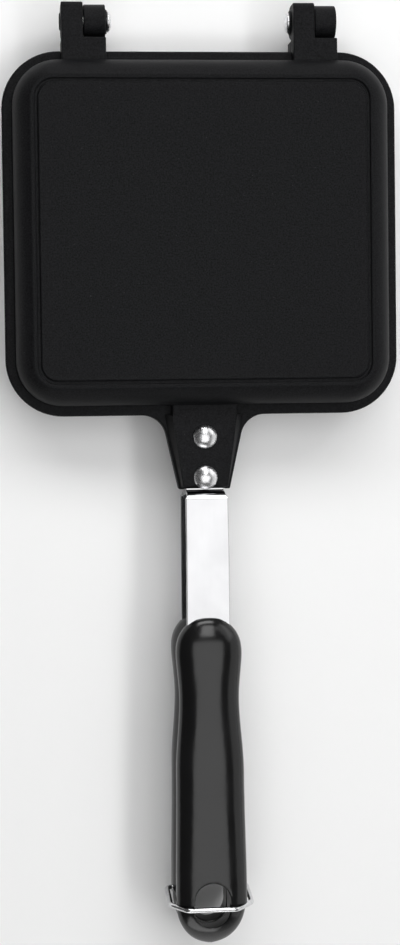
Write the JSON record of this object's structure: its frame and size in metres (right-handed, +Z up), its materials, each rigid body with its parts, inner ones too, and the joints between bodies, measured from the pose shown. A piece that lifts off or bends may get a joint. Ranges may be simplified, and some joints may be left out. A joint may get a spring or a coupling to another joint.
{
  "type": "double-sided waffle pan",
  "caption": "Hinged stove-top waffle pan: two cast grid halves with back hinges, riveted steel straps, glossy handles and a swinging wire latch at the handle ends.",
  "frame": {"origin": "centre of the lower pan's flat outer panel, which the closed pan rests on", "axes": "+X across the pan to the right, +Y from the handles towards the hinges, +Z up from the rest face"},
  "size_m": [0.145, 0.347, 0.033],
  "materials": {
    "coated_pan": "matte black non-stick coating with a fine grain on cast aluminium",
    "strap_steel": "polished stainless steel",
    "handle_black": "glossy black moulded grip",
    "plated_steel": "plated steel screw",
    "rivet_metal": "bright polished metal",
    "latch_steel": "bright chromed wire"
  },
  "bodies": {
    "lower_half": {"lower_pan": "coated_pan", "lower_strap": "strap_steel", "lower_handle": "handle_black", "lower_handle_screw": "plated_steel", "lower_tang_rivet_back": "rivet_metal", "lower_tang_rivet_front": "rivet_metal", "right_hinge_pin": "rivet_metal"},
    "upper_half": {"upper_pan": "coated_pan", "upper_strap": "strap_steel", "upper_handle": "handle_black", "upper_handle_screw": "plated_steel", "upper_tang_rivet_back": "rivet_metal", "upper_tang_rivet_front": "rivet_metal", "left_hinge_pin": "rivet_metal"},
    "latch": {"latch_wire": "latch_steel"}
  },
  "joints": [
    {"name": "lid_hinge", "type": "hinge", "parent": "lower_half", "child": "upper_half", "pos_m": [0, 0.0776, 0.0165], "axis": [-1, 0, 0], "range_deg": [0, 180]},
    {"name": "latch_swing", "type": "hinge", "parent": "lower_half", "child": "latch", "pos_m": [0, -0.24475, 0.0075], "axis": [1, 0, 0], "range_deg": [0, 235]}
  ]
}
